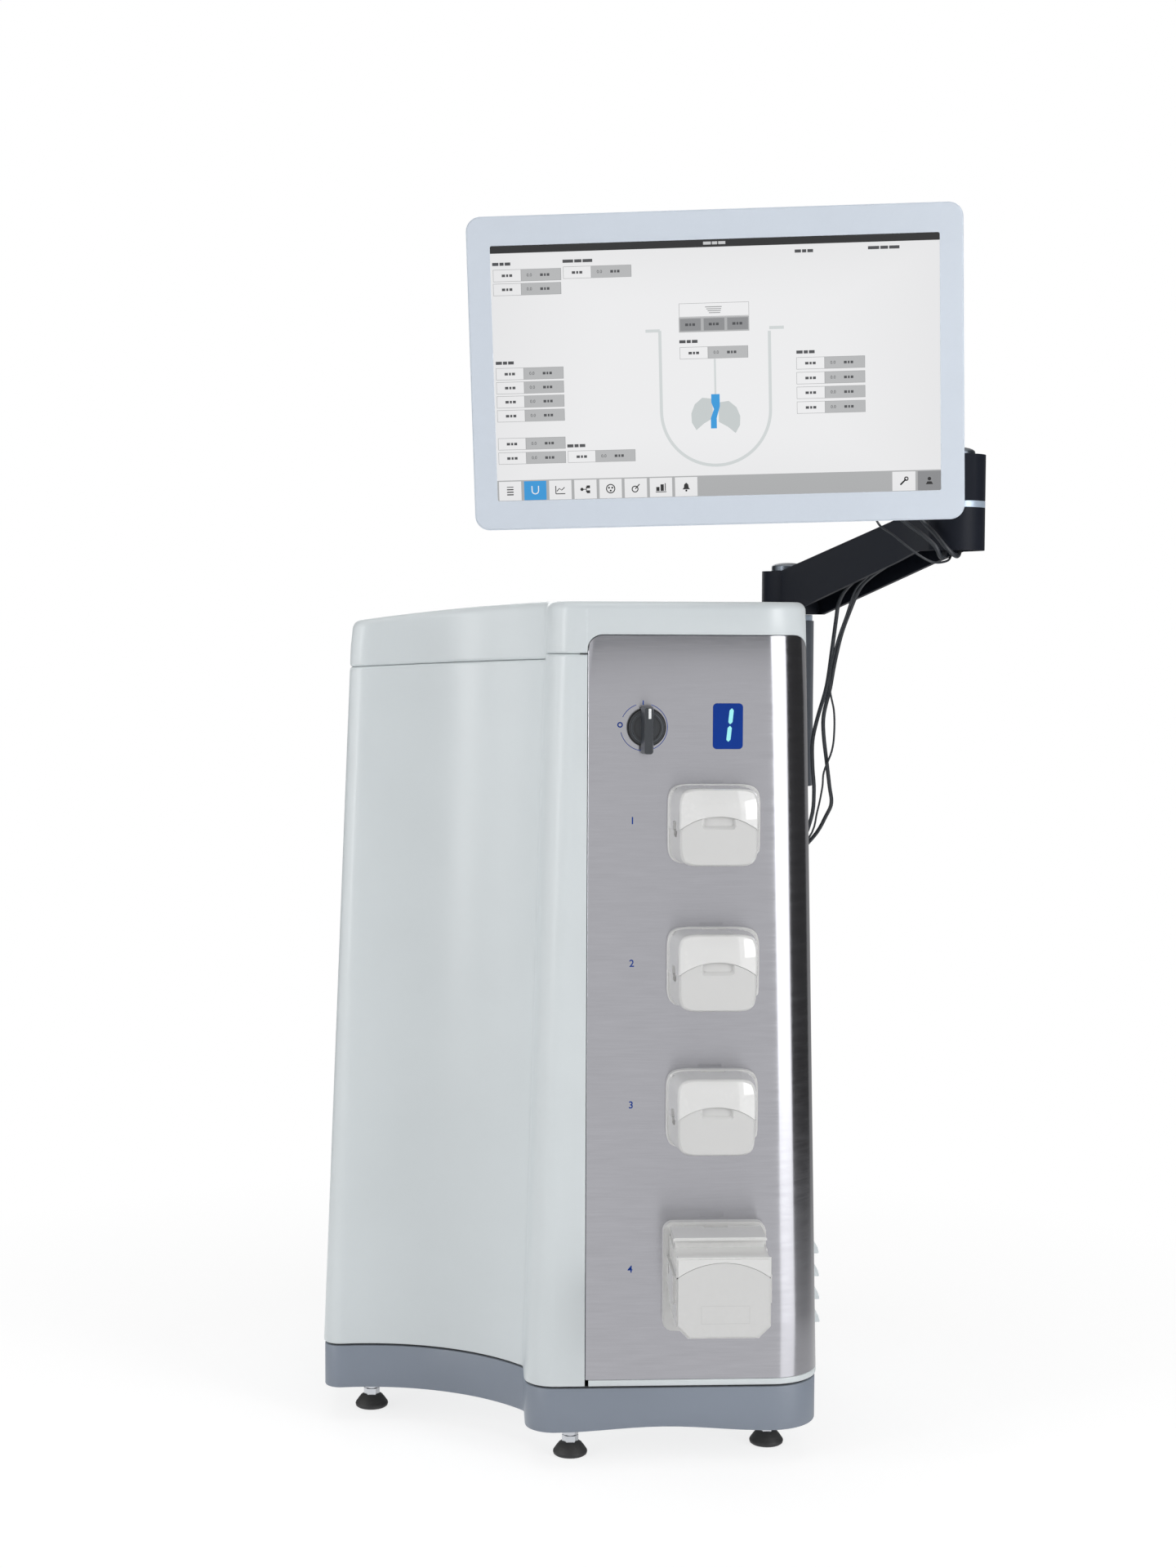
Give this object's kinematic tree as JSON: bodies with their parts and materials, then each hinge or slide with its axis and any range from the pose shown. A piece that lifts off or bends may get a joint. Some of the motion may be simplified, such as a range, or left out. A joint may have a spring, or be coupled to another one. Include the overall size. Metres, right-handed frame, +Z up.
{
  "type": "bench bioreactor control station",
  "caption": "Tall bench bioreactor control cabinet with a vessel nook, peristaltic pump heads, rotary switch and touch monitor on a jointed arm",
  "frame": {"origin": "middle of the front left levelling foot's sole", "axes": "+X to the right seen from the front, +Y to the back, +Z up; the steel front faces -Y"},
  "size_m": [0.5964, 0.6474, 1.0668],
  "materials": {
    "shell_white": "moulded, semi-gloss off-white",
    "skirt_grey": "satin blue-grey",
    "steel_front": "brushed along X",
    "sheet_steel": "plain sheet steel",
    "gasket": "matt black",
    "pad_rubber": "matt black",
    "zinc": "bright zinc",
    "switch_black": "satin black",
    "window_blue": "dark blue glossy window",
    "board": "circuit board",
    "pump_white": "glossy white",
    "rotor_grey": "satin",
    "motor_dark": "satin",
    "pole_grey": "satin anodised",
    "arm_black": "satin near black",
    "washer_blue": "light blue-grey",
    "cap_metal": "dark satin",
    "monitor_light": "light grey-blue",
    "screen_glass": "touch glass over the display",
    "cable": "smooth dark",
    "alu": "plain"
  },
  "bodies": {
    "cabinet": {"base_skirt": "skirt_grey", "base_plate": "sheet_steel", "seam_gasket": "gasket", "body_shell": "shell_white", "lid": "shell_white", "front_panel": "steel_front", "side_vent": "shell_white", "back_panel": "sheet_steel", "foot_pads": "pad_rubber", "foot_spindles": "zinc", "foot_locknuts": "zinc", "switch_bezel": "switch_black", "switch_block": "switch_black", "display_window": "window_blue", "digit_display": "board", "pump_1_body": "pump_white", "pump_2_body": "pump_white", "pump_3_body": "pump_white", "pump_4_body": "pump_white", "pump_1_motor": "motor_dark", "pump_2_motor": "motor_dark", "pump_3_motor": "motor_dark", "pump_4_motor": "motor_dark", "pole": "pole_grey", "pole_bracket": "sheet_steel", "pole_washer": "washer_blue", "pole_cap": "cap_metal", "cable_a_drop": "cable", "cable_b_drop": "cable", "cable_c_drop": "cable", "cable_glands": "cable", "power_supply": "sheet_steel", "control_board": "board", "gas_manifold": "alu", "fan_frame": "switch_black", "mains_inlet": "switch_black", "panel_screws": "zinc"},
    "lower_arm": {"lower_arm": "arm_black", "elbow_washer": "washer_blue", "elbow_bolt": "cap_metal", "cable_a_loop": "cable", "cable_b_loop": "cable", "cable_c_loop": "cable"},
    "upper_arm": {"upper_arm": "arm_black"},
    "head": {"head_swivel": "arm_black"},
    "knuckle": {"tilt_knuckle": "arm_black"},
    "monitor": {"vesa_plate": "arm_black", "monitor_back": "monitor_light", "monitor_bezel": "monitor_light", "touch_screen": "screen_glass"},
    "knob": {"switch_knob": "switch_black"},
    "fan": {"fan_rotor": "switch_black"},
    "cover_1": {"pump_1_cover": "pump_white"},
    "rotor_1": {"pump_1_rotor": "rotor_grey"},
    "cover_2": {"pump_2_cover": "pump_white"},
    "rotor_2": {"pump_2_rotor": "rotor_grey"},
    "cover_3": {"pump_3_cover": "pump_white"},
    "rotor_3": {"pump_3_rotor": "rotor_grey"},
    "cover_4": {"pump_4_cover": "pump_white"},
    "rotor_4": {"pump_4_rotor": "rotor_grey"}
  },
  "joints": [
    {"name": "pole_swivel", "type": "hinge", "parent": "cabinet", "child": "lower_arm", "pos_m": [0.236, 0.361, 0.772], "axis": [0, 0, 1], "range_deg": [-20, 90], "deforming": ["cable_a_drop", "cable_b_drop", "cable_c_drop"]},
    {"name": "elbow", "type": "hinge", "parent": "lower_arm", "child": "upper_arm", "pos_m": [0.34496, 0.04633, 0.87], "axis": [0, 0, 1], "range_deg": [-60, 75], "deforming": ["cable_a_loop", "cable_b_loop", "cable_c_loop"]},
    {"name": "head_pan", "type": "hinge", "parent": "upper_arm", "child": "head", "pos_m": [0.11284, -0.1138, 0.915], "axis": [0, 0, 1], "range_deg": [-75, 45]},
    {"name": "tilt", "type": "hinge", "parent": "head", "child": "knuckle", "pos_m": [0.10867, -0.15157, 0.9461], "axis": [-0.994, 0.1097, 0], "range_deg": [-10, 60]},
    {"name": "monitor_roll", "type": "hinge", "parent": "knuckle", "child": "monitor", "pos_m": [0.10539, -0.18129, 0.94359], "axis": [-0.1093, -0.9905, -0.0837], "range_deg": [-4, 90]},
    {"name": "switch_turn", "type": "hinge", "parent": "cabinet", "child": "knob", "pos_m": [0.0615, -0.052, 0.652], "axis": [0, -1, 0], "range_deg": [0, 90]},
    {"name": "cover_1_hinge", "type": "hinge", "parent": "cabinet", "child": "cover_1", "pos_m": [0.12, -0.0556, 0.5987], "axis": [-1, 0, 0], "range_deg": [0, 85]},
    {"name": "cover_2_hinge", "type": "hinge", "parent": "cabinet", "child": "cover_2", "pos_m": [0.12, -0.0556, 0.4747], "axis": [-1, 0, 0], "range_deg": [0, 85]},
    {"name": "cover_3_hinge", "type": "hinge", "parent": "cabinet", "child": "cover_3", "pos_m": [0.12, -0.0556, 0.3507], "axis": [-1, 0, 0], "range_deg": [0, 85]},
    {"name": "cover_4_hinge", "type": "hinge", "parent": "cabinet", "child": "cover_4", "pos_m": [0.123, -0.0585, 0.2142], "axis": [-1, 0, 0], "range_deg": [0, 70]},
    {"name": "rotor_1_spin", "type": "hinge", "parent": "cabinet", "child": "rotor_1", "pos_m": [0.12, -0.046, 0.569], "axis": [0, -1, 0], "continuous": true},
    {"name": "rotor_2_spin", "type": "hinge", "parent": "cabinet", "child": "rotor_2", "pos_m": [0.12, -0.046, 0.445], "axis": [0, -1, 0], "continuous": true},
    {"name": "rotor_3_spin", "type": "hinge", "parent": "cabinet", "child": "rotor_3", "pos_m": [0.12, -0.046, 0.321], "axis": [0, -1, 0], "continuous": true},
    {"name": "rotor_4_spin", "type": "hinge", "parent": "cabinet", "child": "rotor_4", "pos_m": [0.123, -0.046, 0.1737], "axis": [0, -1, 0], "continuous": true},
    {"name": "fan_spin", "type": "hinge", "parent": "cabinet", "child": "fan", "pos_m": [0.061, 0.31, 0.6005], "axis": [0, 1, 0], "continuous": true}
  ]
}
